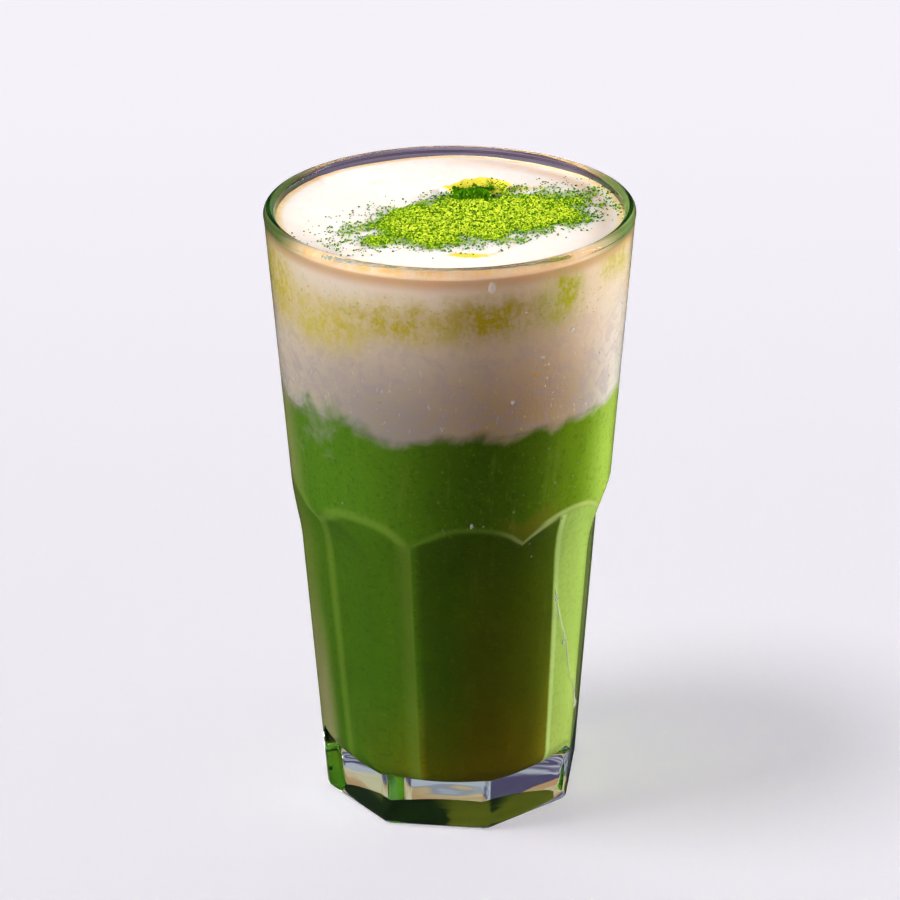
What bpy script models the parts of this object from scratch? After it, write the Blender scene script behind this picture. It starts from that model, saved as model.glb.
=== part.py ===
"""A matcha macchiato in its tall panelled tumbler.

Metres, +Z up. The origin is the centre of the underside of the foot, and the -Y side is the front. The tumbler is
one pressed glass: a plain round cone above, and below it eight flat panels that end in arches. It holds a green
matcha drink and, on top of it, a layer of milk foam dusted with matcha powder.
"""

import math
import random

import bmesh
import bpy

MM = 0.001

# Driving dimensions of the tumbler
HEIGHT = 152.3 * MM
RIM_RADIUS = 44.0 * MM
FOOT_RADIUS = 33.0 * MM
LIP_WIDTH = 2.8 * MM
FLOOR_HEIGHT = 11.0 * MM
INNER_FLOOR_RADIUS = 26.4 * MM
FLOOR_FILLET = 5.0 * MM

# The eight flat panels, their ridges and the coves that end them in arches
PANELS = 8
FIRST_RIDGE = math.radians(15.0)
RIDGE_SHARE = 0.99
RIDGE_ROUNDING = 1.6 * MM
COVE_BOTTOM = 69.0 * MM
ARCH_TOP = 83.5 * MM
COVE_POWER = 2.5
ARCH_EDGE_SOFTNESS = 0.5 * MM

# The foot
FOOT_ROUNDING = 1.3 * MM
HOLLOW_RADIUS = 25.0 * MM
HOLLOW_DEPTH = 2.0 * MM

# The contents
GAP = 0.3 * MM
DRINK_LEVEL = 108.5 * MM
DIP_DEPTH = 2.4 * MM
DIP_AZIMUTH = math.radians(-20.0)
DIP_WIDTH = math.radians(13.0)
FOAM_LEVEL = 149.7 * MM
FOAM_EDGE_RISE = 0.4 * MM
SWELL = 0.25 * MM

# The lump of foam behind the powder, as (x, y), half sizes and height
LUMP_PLACE = (5.5 * MM, 17.0 * MM)
LUMP_HALF_SIZE = (6.2 * MM, 6.8 * MM)
LUMP_HEIGHT = 2.0 * MM

# The dusting of powder, an oval leaning a little to the right
DUST_PLACE = (7.5 * MM, -3.0 * MM)
DUST_HALF_SIZE = (27.0 * MM, 19.0 * MM)
DUST_RELIEF = 0.5 * MM
DUST_BUMP = 4.5 * MM
GRAINS = 78
GRAIN_RADIUS = (0.5 * MM, 0.8 * MM)
GRAIN_SPACING = 3.0 * MM
GRAIN_EMBED = 0.35

# Fineness of the faceted solids
GLASS_SIDES = 80
DRINK_SIDES = 40
FOAM_SIDES = 80
COVE_ROWS = 12
FILLET_ROWS = 5
LIP_ROWS = 8
FOAM_RINGS = 22

CAMERA_SIDE = -math.pi / 2


def clear_scene():
    for thing in list(bpy.data.objects):
        bpy.data.objects.remove(thing, do_unlink=True)


def material(name, colour, roughness, transmission=0.0):
    """A Principled BSDF of one linear colour."""
    made = bpy.data.materials.new(name)
    made.use_nodes = True
    shader = made.node_tree.nodes["Principled BSDF"]
    shader.inputs["Base Color"].default_value = (*colour, 1.0)
    shader.inputs["Roughness"].default_value = roughness
    shader.inputs["Metallic"].default_value = 0.0
    shader.inputs["Transmission Weight"].default_value = transmission
    return made


def shared_out(first, last, count):
    """count values from first to last, both included."""
    return [first + (last - first) * k / (count - 1) for k in range(count)]


def azimuth(angle):
    """The angle seen from above, from the front and growing towards +X, of an angle measured from +X."""
    return angle - CAMERA_SIDE


def cone_radius(z):
    """The round outside of the tumbler."""
    return FOOT_RADIUS + (RIM_RADIUS - FOOT_RADIUS) * z / HEIGHT


def inner_radius(z):
    """The round inside of the tumbler, above the fillet of its floor."""
    share = (z - FLOOR_HEIGHT) / (HEIGHT - FLOOR_HEIGHT)
    return INNER_FLOOR_RADIUS + (RIM_RADIUS - LIP_WIDTH - INNER_FLOOR_RADIUS) * share


def cove_rise(z):
    """How far the cove brings a panel back out towards the cone, at height z."""
    if z <= COVE_BOTTOM:
        return 0.0
    panel_depth = cone_radius(ARCH_TOP) * (1 - RIDGE_SHARE * math.cos(math.pi / PANELS))
    return panel_depth * ((z - COVE_BOTTOM) / (ARCH_TOP - COVE_BOTTOM)) ** COVE_POWER


def panel_radius(angle, z):
    """A regular prism of flat panels with rounded ridges, as a radius at this angle and height."""
    half = math.pi / PANELS
    from_ridge = (azimuth(angle) - FIRST_RIDGE + half) % (2 * half) - half
    flat_distance = RIDGE_SHARE * math.cos(half) * cone_radius(z) + cove_rise(z)
    round_centre = (flat_distance - RIDGE_ROUNDING) / math.cos(half)
    round_end = math.atan2(
        RIDGE_ROUNDING * math.sin(half), round_centre + RIDGE_ROUNDING * math.cos(half)
    )
    if abs(from_ridge) > round_end:
        return flat_distance / math.cos(half - abs(from_ridge))
    across = round_centre * math.sin(from_ridge)
    return round_centre * math.cos(from_ridge) + math.sqrt(RIDGE_ROUNDING**2 - across**2)


def outer_radius(angle, z):
    """The lower of cone and panel, with a soft edge where they meet."""
    cone = cone_radius(z)
    panel = panel_radius(angle, z)
    overlap = max(ARCH_EDGE_SOFTNESS - abs(cone - panel), 0.0) / ARCH_EDGE_SOFTNESS
    return min(cone, panel) - overlap**2 * ARCH_EDGE_SOFTNESS / 4


def skin(name, rings, bottom, top, look):
    """One closed body: rings of points joined in order, with a pole under the first and over the last."""
    shape = bmesh.new()
    loops = [[shape.verts.new(point) for point in ring] for ring in rings]
    sides = len(rings[0])
    for low, high in zip(loops, loops[1:]):
        for k in range(sides):
            shape.faces.new((low[k], low[(k + 1) % sides], high[(k + 1) % sides], high[k]))
    bottom_pole = shape.verts.new(bottom)
    top_pole = shape.verts.new(top)
    for k in range(sides):
        shape.faces.new((bottom_pole, loops[0][(k + 1) % sides], loops[0][k]))
        shape.faces.new((top_pole, loops[-1][k], loops[-1][(k + 1) % sides]))
    bmesh.ops.recalc_face_normals(shape, faces=shape.faces)
    mesh = bpy.data.meshes.new(name)
    shape.to_mesh(mesh)
    shape.free()
    mesh.materials.append(look)
    mesh.shade_smooth()
    mesh.set_sharp_from_angle(angle=math.radians(30))
    made = bpy.data.objects.new(name, mesh)
    bpy.context.scene.collection.objects.link(made)
    return made


def ring(sides, radius_at, height_at):
    """Points round the axis. radius_at takes the angle, and height_at the angle and the radius."""
    points = []
    for k in range(sides):
        angle = 2 * math.pi * k / sides + CAMERA_SIDE + FIRST_RIDGE
        radius = radius_at(angle)
        height = height_at(angle, radius)
        points.append((radius * math.cos(angle), radius * math.sin(angle), height))
    return points


def level_ring(sides, radius, z):
    return ring(sides, lambda angle: radius, lambda angle, r: z)


def fillet_rings(sides, inset):
    """The rounded corner between the inner wall and the floor, from the floor up, moved in by inset."""
    centre_z = FLOOR_HEIGHT + FLOOR_FILLET
    centre_radius = inner_radius(centre_z) - FLOOR_FILLET
    reach = FLOOR_FILLET - inset
    rings = []
    for turn in shared_out(-math.pi / 2, 0.0, FILLET_ROWS):
        radius = centre_radius + reach * math.cos(turn)
        rings.append(level_ring(sides, radius, centre_z + reach * math.sin(turn)))
    return rings


def outside_heights():
    """Heights of the rows up the outside: few where the wall is straight, close together in the cove."""
    rows = [FOOT_ROUNDING, COVE_BOTTOM / 2]
    rows += shared_out(COVE_BOTTOM, ARCH_TOP + 1 * MM, COVE_ROWS)
    return rows + [(ARCH_TOP + HEIGHT) / 2]


def glass():
    """The tumbler, as one skin from under the foot, up the outside, over the lip and down the inside."""
    sides = GLASS_SIDES
    rings = []
    for share in (0.4, 0.8):
        rings.append(level_ring(sides, HOLLOW_RADIUS * share, HOLLOW_DEPTH * (1 - share**4)))
    rings.append(level_ring(sides, HOLLOW_RADIUS, 0.0))
    for turn in shared_out(0.0, math.pi / 2, 4)[:-1]:
        inset = FOOT_ROUNDING * (1 - math.sin(turn))
        z = FOOT_ROUNDING * (1 - math.cos(turn))
        rings.append(ring(sides, lambda a: outer_radius(a, z) - inset, lambda a, r: z))
    for z in outside_heights():
        rings.append(ring(sides, lambda a: outer_radius(a, z), lambda a, r: z))
    lip = LIP_WIDTH / 2
    lip_centre = RIM_RADIUS - lip
    for turn in shared_out(0.0, math.pi, LIP_ROWS):
        rings.append(
            level_ring(sides, lip_centre + lip * math.cos(turn), HEIGHT - lip + lip * math.sin(turn))
        )
    rings += reversed(fillet_rings(sides, 0.0))
    look = material("pressed clear glass", (0.95, 0.97, 0.96), 0.03, transmission=1.0)
    return skin("glass", rings, (0, 0, HOLLOW_DEPTH), (0, 0, FLOOR_HEIGHT), look)


def boundary_height(angle, radius):
    """The uneven level where the milk meets the matcha: flat in the middle, with one dip at the wall."""
    turn = (azimuth(angle) - DIP_AZIMUTH + math.pi) % (2 * math.pi) - math.pi
    reach = (radius / inner_radius(DRINK_LEVEL)) ** 3
    return DRINK_LEVEL - DIP_DEPTH * reach * math.exp(-((turn / DIP_WIDTH) ** 2))


def wall_radius(z):
    """The outer radius of the contents, just clear of the glass."""
    return inner_radius(z) - GAP


def boundary_rings(sides, lift):
    """Rings of the level between the layers, from the middle out to the wall, raised by lift."""
    rings = []
    for share in (0.4, 0.7, 0.9, 1.0):
        rings.append(
            ring(
                sides,
                lambda a: wall_radius(DRINK_LEVEL - DIP_DEPTH) * share,
                lambda a, r: boundary_height(a, r) + lift,
            )
        )
    return rings


def matcha_drink():
    """The green drink, from the floor of the glass to the milk."""
    sides = DRINK_SIDES
    rings = fillet_rings(sides, GAP)
    rings.append(level_ring(sides, wall_radius(COVE_BOTTOM), COVE_BOTTOM))
    rings += reversed(boundary_rings(sides, 0.0))
    look = material("matcha drink", (0.10, 0.25, 0.01), 0.35)
    return skin(
        "matcha_drink", rings, (0, 0, FLOOR_HEIGHT + GAP), (0, 0, boundary_height(0.0, 0.0)), look
    )


def oval_distance(x, y, place, half_size):
    """0 at the middle of an oval and 1 on its edge."""
    return math.hypot((x - place[0]) / half_size[0], (y - place[1]) / half_size[1])


def foam_height(x, y):
    """The top of the foam without its powder: slow swells, a rise at the wall and one lump."""
    radius = math.hypot(x, y)
    edge = (radius / wall_radius(FOAM_LEVEL)) ** 12 * FOAM_EDGE_RISE
    swells = math.sin(x / (9 * MM) + 1.0) * math.cos(y / (7 * MM)) * SWELL
    lump_reach = max(1 - oval_distance(x, y, LUMP_PLACE, LUMP_HALF_SIZE) ** 2, 0.0)
    return FOAM_LEVEL + edge + swells * (1 - lump_reach) + LUMP_HEIGHT * math.sqrt(lump_reach)


def dusting(x, y):
    """How thick the powder lies: 1 in the middle of the dusting, 0 outside it."""
    return max(1 - oval_distance(x, y, DUST_PLACE, DUST_HALF_SIZE) ** 2, 0.0)


def dusted_height(x, y):
    """The foam with its powder as low uneven bumps, made of three crossing waves."""
    bumps = 0.0
    for turn in (0.3, 1.4, 2.5):
        along = x * math.cos(turn) + y * math.sin(turn)
        bumps += (1 + math.sin(2 * math.pi * along / DUST_BUMP + 7 * turn)) / 6
    return foam_height(x, y) + DUST_RELIEF * bumps * math.sqrt(dusting(x, y))


def milk_foam():
    """The layer of milk and foam, with its uneven dusted top."""
    sides = FOAM_SIDES
    rings = boundary_rings(sides, GAP)
    for share in shared_out(1.0, 1.0 / FOAM_RINGS, FOAM_RINGS):
        radius = wall_radius(FOAM_LEVEL) * share
        rings.append(
            ring(
                sides,
                lambda a: radius,
                lambda a, r: dusted_height(r * math.cos(a), r * math.sin(a)),
            )
        )
    look = material("milk foam", (0.87, 0.83, 0.76), 0.5)
    bottom = (0, 0, boundary_height(0.0, 0.0) + GAP)
    return skin("milk_foam", rings, bottom, (0, 0, dusted_height(0.0, 0.0)), look)


def grain_places(chance):
    """Spread-out places in the dusting, closer to its middle than to its edge."""
    places = []
    while len(places) < GRAINS:
        x = DUST_PLACE[0] + DUST_HALF_SIZE[0] * chance.uniform(-1.15, 1.15)
        y = DUST_PLACE[1] + DUST_HALF_SIZE[1] * chance.uniform(-1.15, 1.15)
        inside = math.hypot(x, y) < wall_radius(FOAM_LEVEL) - 2 * MM
        off_lump = oval_distance(x, y, LUMP_PLACE, LUMP_HALF_SIZE) > 1.1
        wanted = oval_distance(x, y, DUST_PLACE, DUST_HALF_SIZE) < 0.6 + 0.55 * chance.random()
        apart = all(math.hypot(x - a, y - b) > GRAIN_SPACING for a, b in places)
        if inside and off_lump and wanted and apart:
            places.append((x, y))
    return places


def powder_grains():
    """The largest grains of powder, as small uneven solids half sunk in the foam, in their own collection."""
    chance = random.Random(11)
    heap = bpy.data.collections.new("powder grains")
    bpy.context.scene.collection.children.link(heap)
    for x, y in grain_places(chance):
        size = chance.uniform(*GRAIN_RADIUS)
        shape = bmesh.new()
        bmesh.ops.create_icosphere(shape, subdivisions=1, radius=size)
        for corner in shape.verts:
            corner.co *= chance.uniform(0.85, 1.15)
        mesh = bpy.data.meshes.new("grain")
        shape.to_mesh(mesh)
        shape.free()
        grain = bpy.data.objects.new("grain", mesh)
        grain.location = (x, y, dusted_height(x, y) + size * GRAIN_EMBED)
        grain.rotation_euler = (chance.uniform(0, 3), chance.uniform(0, 3), chance.uniform(0, 3))
        heap.objects.link(grain)
    return heap


def fuse(body, heap):
    """Joins the solids of a collection to the body with one Boolean union, and removes the collection."""
    join = body.modifiers.new("powder", "BOOLEAN")
    join.operation = "UNION"
    join.operand_type = "COLLECTION"
    join.collection = heap
    join.solver = "EXACT"
    bpy.context.view_layer.update()
    graph = bpy.context.evaluated_depsgraph_get()
    joined = bpy.data.meshes.new_from_object(body.evaluated_get(graph))
    body.modifiers.remove(join)
    body.data = joined
    for grain in list(heap.objects):
        bpy.data.objects.remove(grain, do_unlink=True)
    bpy.data.collections.remove(heap)


def main():
    clear_scene()
    glass()
    matcha_drink()
    foam = milk_foam()
    fuse(foam, powder_grains())


main()
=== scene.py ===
# %% [markdown]
# # A matcha macchiato in its panelled tumbler
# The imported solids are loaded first. They carry the real sizes, so every piece below is built in their
# frame, in metres, with +Z up and the side that the picture shows towards -Y.

# %% Load the frame
import math
import random

import bmesh
import bpy
from mathutils import Matrix, Vector, noise


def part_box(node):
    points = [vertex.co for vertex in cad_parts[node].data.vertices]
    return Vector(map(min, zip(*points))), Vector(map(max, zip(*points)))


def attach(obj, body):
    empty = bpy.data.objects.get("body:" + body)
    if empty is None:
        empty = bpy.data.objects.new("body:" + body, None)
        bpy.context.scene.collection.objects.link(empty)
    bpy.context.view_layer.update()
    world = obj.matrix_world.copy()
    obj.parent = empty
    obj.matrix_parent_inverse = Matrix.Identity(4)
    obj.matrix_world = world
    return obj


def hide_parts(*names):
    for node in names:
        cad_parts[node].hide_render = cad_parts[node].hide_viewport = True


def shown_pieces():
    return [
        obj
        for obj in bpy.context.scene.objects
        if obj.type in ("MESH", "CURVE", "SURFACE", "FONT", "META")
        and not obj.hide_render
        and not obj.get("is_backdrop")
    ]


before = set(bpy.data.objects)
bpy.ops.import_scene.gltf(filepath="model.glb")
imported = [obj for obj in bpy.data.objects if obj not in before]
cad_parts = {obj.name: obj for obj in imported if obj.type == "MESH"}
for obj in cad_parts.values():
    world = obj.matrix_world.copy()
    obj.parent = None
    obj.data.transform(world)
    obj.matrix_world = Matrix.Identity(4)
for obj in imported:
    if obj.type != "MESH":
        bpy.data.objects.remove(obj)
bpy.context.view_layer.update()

MM = 0.001
print("solids:", sorted(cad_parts))

# %% [markdown]
# ## Driving sizes
# The height comes from the frame. The rest are the tumbler's own proportions: a pressed glass has a smooth
# cone inside, because the plunger that shapes it has to come out, so its panels are on the outside only.

# %% Sizes of the tumbler and its contents
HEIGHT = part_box("glass")[1][2]
RIM_RADIUS = 44.0 * MM
FOOT_RADIUS = 33.0 * MM
LIP_WIDTH = 2.8 * MM
FLOOR_HEIGHT = 11.0 * MM
INNER_FLOOR_RADIUS = 26.4 * MM
FLOOR_FILLET = 5.0 * MM
FOOT_ROUNDING = 1.3 * MM
HOLLOW_RADIUS = 25.0 * MM
HOLLOW_DEPTH = 0.8 * MM

PANELS = 8
FIRST_RIDGE = math.radians(15.0)
RIDGE_SHARE = 0.99
RIDGE_ROUNDING = 3.0 * MM
COVE_BOTTOM = 69.0 * MM
ARCH_TOP = 83.5 * MM
COVE_POWER = 2.5
ARCH_EDGE_SOFTNESS = 0.9 * MM

INTO_WALL = 0.12 * MM
DRINK_LEVEL = 108.5 * MM
FOAM_LEVEL = 149.7 * MM
FRONT = -math.pi / 2
print("tumbler", round(HEIGHT / MM, 1), "mm high, rim", 2 * RIM_RADIUS / MM, "mm")


# %% [markdown]
# ## Small helpers
# Every finish is a node tree, in which each node works on what other nodes give. One function adds a node
# of any kind with its settings and links, for shader trees and geometry trees alike. Colours are written as
# sRGB hex, as a picture editor shows them, and turned into the linear values that the renderer works in.
# Most of a finish here is laid on in thin coats, as a painter would: a colour, over it another one, and how
# much of it shows where.

# %% Helpers for nodes and colours
MATH, RAMP, NOISE = "ShaderNodeMath", "ShaderNodeMapRange", "ShaderNodeTexNoise"
SMOOTH = {"interpolation_type": "SMOOTHSTEP"}


def linear(hex_colour):
    """The linear RGBA of an sRGB colour such as '#7FA83A'."""
    parts = [int(hex_colour[k : k + 2], 16) / 255 for k in (1, 3, 5)]
    return (*[p / 12.92 if p <= 0.04045 else ((p + 0.055) / 1.055) ** 2.4 for p in parts], 1.0)


def add(tree, kind, links=(), **settings):
    """Adds a node. Links are its inputs, in order or by name: a node or output to join, or a plain value."""
    made = tree.nodes.new(kind)
    for name, value in settings.items():
        setattr(made, name, value)
    for socket, value in links.items() if isinstance(links, dict) else enumerate(links):
        if isinstance(value, bpy.types.Node):
            value = value.outputs[0]
        if isinstance(value, bpy.types.NodeSocket):
            tree.links.new(value, made.inputs[socket])
        else:
            made.inputs[socket].default_value = value
    return made


def new_material(name):
    """An empty material with its output, ready for a shader."""
    made = bpy.data.materials.new(name)
    made.use_nodes = True
    made.node_tree.nodes.clear()
    output = add(made.node_tree, "ShaderNodeOutputMaterial")
    return made, made.node_tree, output


def product(tree, *shares):
    """Shares multiplied. A share is a number, a node, or a value with the limits of its soft rise to 1."""
    result = None
    for share in shares:
        if isinstance(share, tuple):
            share = add(tree, RAMP, share, **SMOOTH)
        result = share if result is None else add(tree, MATH, (result, share), operation="MULTIPLY")
    return result


def coats(tree, colour, *layers):
    """A colour under coats of others. Each coat is a colour and the shares that say how much it covers."""
    for over, *shares in layers:
        under, over = [linear(c) if isinstance(c, str) else c for c in (colour, over)]
        links = {"Factor": product(tree, *shares), 6: under, 7: over}
        colour = add(tree, "ShaderNodeMix", links, data_type="RGBA").outputs[2]
    return colour


def cloud_layers(tree, place, *rows):
    """Cloudy textures, one a row: size in mm, height factor (under 1 draws it out downwards), then the
    detail, roughness and distortion of its noise."""
    made = []
    for size, height_factor, detail, roughness, distortion in rows:
        vector = place
        if height_factor != 1.0:
            factors = (1.0, 1.0, height_factor)
            vector = add(tree, "ShaderNodeVectorMath", (place, factors), operation="MULTIPLY")
        links = {"Vector": vector, "Scale": 1 / (size * MM), "Detail": detail}
        made.append(add(tree, NOISE, {**links, "Roughness": roughness, "Distortion": distortion}))
    return made


def band(tree, value, centre, half_width):
    """1 where value is at the centre, falling smoothly to 0 at half_width from it."""
    off = add(tree, MATH, (value, centre), operation="SUBTRACT")
    off = add(tree, MATH, (off,), operation="ABSOLUTE")
    limits = {"Value": off, "From Min": 0.0, "From Max": half_width, "To Min": 1.0, "To Max": 0.0}
    return add(tree, RAMP, limits, interpolation_type="SMOOTHERSTEP")


def place_parts(tree):
    """Object coordinates, the height in mm, and the azimuth from the front towards +X in degrees."""
    place = add(tree, "ShaderNodeTexCoord").outputs["Object"]
    along_x, along_y, along_z = add(tree, "ShaderNodeSeparateXYZ", (place,)).outputs
    towards_front = add(tree, MATH, (along_y, -1.0), operation="MULTIPLY")
    turn = add(tree, MATH, (along_x, towards_front), operation="ARCTAN2")
    turn = add(tree, MATH, (turn,), operation="DEGREES")
    return place, add(tree, MATH, (along_z, MM), operation="DIVIDE"), turn


print("matcha green in linear light:", [round(v, 3) for v in linear("#5F8129")])


# %% [markdown]
# ## Skins made of rings
# A tumbler is a turned form, apart from its panels. So it is one skin: rings of points from the pole under
# the foot, up the outside, over the lip and down to the pole on the floor. The panels only change the
# radius of a ring, so the whole glass stays one closed surface, which is what clear glass needs to refract
# properly.

# %% Helpers for rings
def shared_out(first, last, count):
    """Values from first to last, evenly spaced."""
    return [first + (last - first) * k / (count - 1) for k in range(count)]


def new_object(name, data):
    """Puts a mesh, a lamp or a camera into the scene."""
    made = bpy.data.objects.new(name, data)
    bpy.context.scene.collection.objects.link(made)
    return made


def skin(name, rings, bottom, top, finish):
    """One closed mesh: the rings joined in order, a pole under the first and one over the last."""
    sides = len(rings[0])
    points = [bottom] + [p for one in rings for p in one] + [top]
    last = len(points) - 1
    faces = []
    for level in range(len(rings) - 1):
        low = 1 + level * sides
        for k in range(sides):
            after = (k + 1) % sides
            faces.append((low + k, low + after, low + sides + after, low + sides + k))
    for k in range(sides):
        after = (k + 1) % sides
        faces.append((0, 1 + after, 1 + k))
        faces.append((last, last - sides + k, last - sides + after))
    mesh = bpy.data.meshes.new(name)
    mesh.from_pydata(points, [], faces)
    mesh.shade_smooth()
    mesh.materials.append(finish)
    print(name, len(mesh.polygons), "faces")
    return new_object(name, mesh)


def store(piece, name, values):
    """Keeps one number for each point of a mesh, for its finish to read."""
    piece.data.attributes.new(name, "FLOAT", "POINT").data.foreach_set("value", values)


def even_angles(sides):
    return [FRONT + 2 * math.pi * k / sides for k in range(sides)]


def ring(angles, radius_at, height_at):
    points = []
    for angle in angles:
        radius = radius_at(angle)
        points.append((radius * math.cos(angle), radius * math.sin(angle), height_at(angle, radius)))
    return points


def level_ring(angles, radius, z):
    return ring(angles, lambda a: radius, lambda a, r: z)


def inner_radius(z):
    """The round inside of the tumbler."""
    share = (z - FLOOR_HEIGHT) / (HEIGHT - FLOOR_HEIGHT)
    return INNER_FLOOR_RADIUS + (RIM_RADIUS - LIP_WIDTH - INNER_FLOOR_RADIUS) * share


def fillet_rings(angles, outset, rows):
    """The rounded corner between floor and wall, from the floor up, moved into the glass by outset."""
    centre_z = FLOOR_HEIGHT + FLOOR_FILLET
    centre_radius = inner_radius(centre_z) - FLOOR_FILLET
    reach = FLOOR_FILLET + outset
    made = []
    for turn in shared_out(-math.pi / 2, 0.0, rows):
        made.append(
            level_ring(angles, centre_radius + reach * math.cos(turn), centre_z + reach * math.sin(turn))
        )
    return made


# %% [markdown]
# ## The glass
# Soda-lime glass is clear and hard, with an IOR of about 1.5. Where it is thick, as in the foot and along
# the rim, its iron gives a faint green. That tint belongs to the depth of the glass, so it is a volume
# absorption. At the sides of the lip, where one looks along its edge, the surface is made green as well, so
# that the tint is as deep there as on a real lip. Fire-polishing leaves the surface mirror-smooth and very
# faintly wavy.

# %% Finish of the glass
def pressed_clear_glass():
    made, tree, output = new_material("soda-lime glass, pressed and fire-polished")
    place, height, turn = place_parts(tree)
    side = turn
    for operation in ("RADIANS", "SINE", "ABSOLUTE"):
        side = add(tree, MATH, (side,), operation=operation)
    rim_green = coats(tree, "#FFFFFF", ("#3E6C3A", (side, 0.70, 0.92), (height, 148.5, 150.5)))
    [waviness] = cloud_layers(tree, place, (14.0, 1.0, 1.0, 0.55, 0.0))
    bump = add(tree, "ShaderNodeBump", {"Height": waviness, "Strength": 0.12, "Distance": 0.3 * MM})
    shader = add(
        tree,
        "ShaderNodeBsdfPrincipled",
        {
            "Base Color": rim_green,
            "Roughness": 0.0,
            "IOR": 1.5,
            "Transmission Weight": 1.0,
            "Normal": bump.outputs[0],
        },
    )
    depth = add(tree, "ShaderNodeVolumeAbsorption", {"Color": (0.62, 0.86, 0.74, 1.0), "Density": 22.0})
    tree.links.new(shader.outputs[0], output.inputs["Surface"])
    tree.links.new(depth.outputs[0], output.inputs["Volume"])
    return made


GLASS = pressed_clear_glass()
print(GLASS.name)


# %% [markdown]
# The outside of the glass is the lower of two forms: the round cone, and a prism of eight flat panels. Low
# down the panels are the lower one. Above, a cove brings each panel back out, faster and faster, until the
# cone takes over. A flat panel meets a round cone in an arch, so the arches come by themselves.

# %% Shape of the glass
GLASS_PANEL_STEPS = 40
RIDGE_CROWDING = 0.72
COVE_ROWS = 46


def panel_angles():
    """Angles round the glass, closer together near the ridges."""
    half = math.pi / PANELS
    made = []
    for panel in range(PANELS):
        middle = FRONT + FIRST_RIDGE + half * (2 * panel + 1)
        for k in range(GLASS_PANEL_STEPS):
            t = -1 + 2 * k / GLASS_PANEL_STEPS
            made.append(middle + half * (t + RIDGE_CROWDING * math.sin(math.pi * t) / math.pi))
    return made


def cone_radius(z):
    return FOOT_RADIUS + (RIM_RADIUS - FOOT_RADIUS) * z / HEIGHT


def cove_rise(z):
    """How far the cove brings a panel back out towards the cone."""
    if z <= COVE_BOTTOM:
        return 0.0
    panel_depth = cone_radius(ARCH_TOP) * (1 - RIDGE_SHARE * math.cos(math.pi / PANELS))
    return panel_depth * ((z - COVE_BOTTOM) / (ARCH_TOP - COVE_BOTTOM)) ** COVE_POWER


def panel_radius(angle, z):
    """The prism of flat panels with rounded ridges."""
    half = math.pi / PANELS
    from_ridge = (angle - FRONT - FIRST_RIDGE + half) % (2 * half) - half
    flat_distance = RIDGE_SHARE * math.cos(half) * cone_radius(z) + cove_rise(z)
    round_centre = (flat_distance - RIDGE_ROUNDING) / math.cos(half)
    round_end = math.atan2(RIDGE_ROUNDING * math.sin(half), round_centre + RIDGE_ROUNDING * math.cos(half))
    if abs(from_ridge) > round_end:
        return flat_distance / math.cos(half - abs(from_ridge))
    across = round_centre * math.sin(from_ridge)
    return round_centre * math.cos(from_ridge) + math.sqrt(RIDGE_ROUNDING**2 - across**2)


def outer_radius(angle, z):
    cone, panel = cone_radius(z), panel_radius(angle, z)
    overlap = max(ARCH_EDGE_SOFTNESS - abs(cone - panel), 0.0) / ARCH_EDGE_SOFTNESS
    return min(cone, panel) - overlap**2 * ARCH_EDGE_SOFTNESS / 4


def build_tumbler():
    angles = panel_angles()
    rings = []
    for share in (0.25, 0.5, 0.75, 0.92):
        rings.append(level_ring(angles, HOLLOW_RADIUS * share, HOLLOW_DEPTH * (1 - share**6)))
    rings.append(level_ring(angles, HOLLOW_RADIUS, 0.0))
    for turn in shared_out(0.0, math.pi / 2, 8)[:-1]:
        inset = FOOT_ROUNDING * (1 - math.sin(turn))
        z = FOOT_ROUNDING * (1 - math.cos(turn))
        rings.append(ring(angles, lambda a: outer_radius(a, z) - inset, lambda a, r: z))
    heights = shared_out(FOOT_ROUNDING, COVE_BOTTOM - 1 * MM, 12)
    heights += shared_out(COVE_BOTTOM, ARCH_TOP + 1 * MM, COVE_ROWS)
    heights += shared_out(ARCH_TOP + 3 * MM, HEIGHT - LIP_WIDTH, 10)
    for z in heights:
        rings.append(ring(angles, lambda a: outer_radius(a, z), lambda a, r: z))
    lip = LIP_WIDTH / 2
    for turn in shared_out(0.0, math.pi, 18):
        rings.append(
            level_ring(angles, RIM_RADIUS - lip + lip * math.cos(turn), HEIGHT - lip + lip * math.sin(turn))
        )
    for z in shared_out(HEIGHT - 3 * MM, FLOOR_HEIGHT + FLOOR_FILLET + 4 * MM, 8):
        rings.append(level_ring(angles, inner_radius(z), z))
    rings += reversed(fillet_rings(angles, 0.0, 10))
    return skin("tumbler", rings, (0, 0, HOLLOW_DEPTH), (0, 0, FLOOR_HEIGHT), GLASS)


tumbler = build_tumbler()
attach(tumbler, "root")
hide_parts("glass")

# %% [markdown]
# ## The matcha drink
# Matcha is ground tea leaf, so the drink is a suspension: opaque, with soft clouds where it has settled
# unevenly. Through the glass it looks wet and even, and towards the floor it turns olive. It is a solid
# form that reaches a tenth of a millimetre into the glass, so that no film of air shows as a mirror between
# the two.

# %% Where the milk meets the matcha
DIP_DEPTH = 2.4 * MM
DIP_AZIMUTH = math.radians(-20.0)
DIP_WIDTH = math.radians(13.0)
WALL_WAVE = 0.35 * MM
SEAM_STEP = 0.08 * MM


def boundary_height(angle, radius):
    """The uneven level between the layers, wavy only at the wall."""
    turn = (angle - FRONT - DIP_AZIMUTH + math.pi) % (2 * math.pi) - math.pi
    reach = (radius / inner_radius(DRINK_LEVEL)) ** 3
    waves = math.sin(3 * angle + 1.0) + 0.6 * math.sin(7 * angle) + 0.5 * math.sin(13 * angle + 2.0)
    return DRINK_LEVEL - reach * (DIP_DEPTH * math.exp(-((turn / DIP_WIDTH) ** 2)) - WALL_WAVE * waves)


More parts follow.
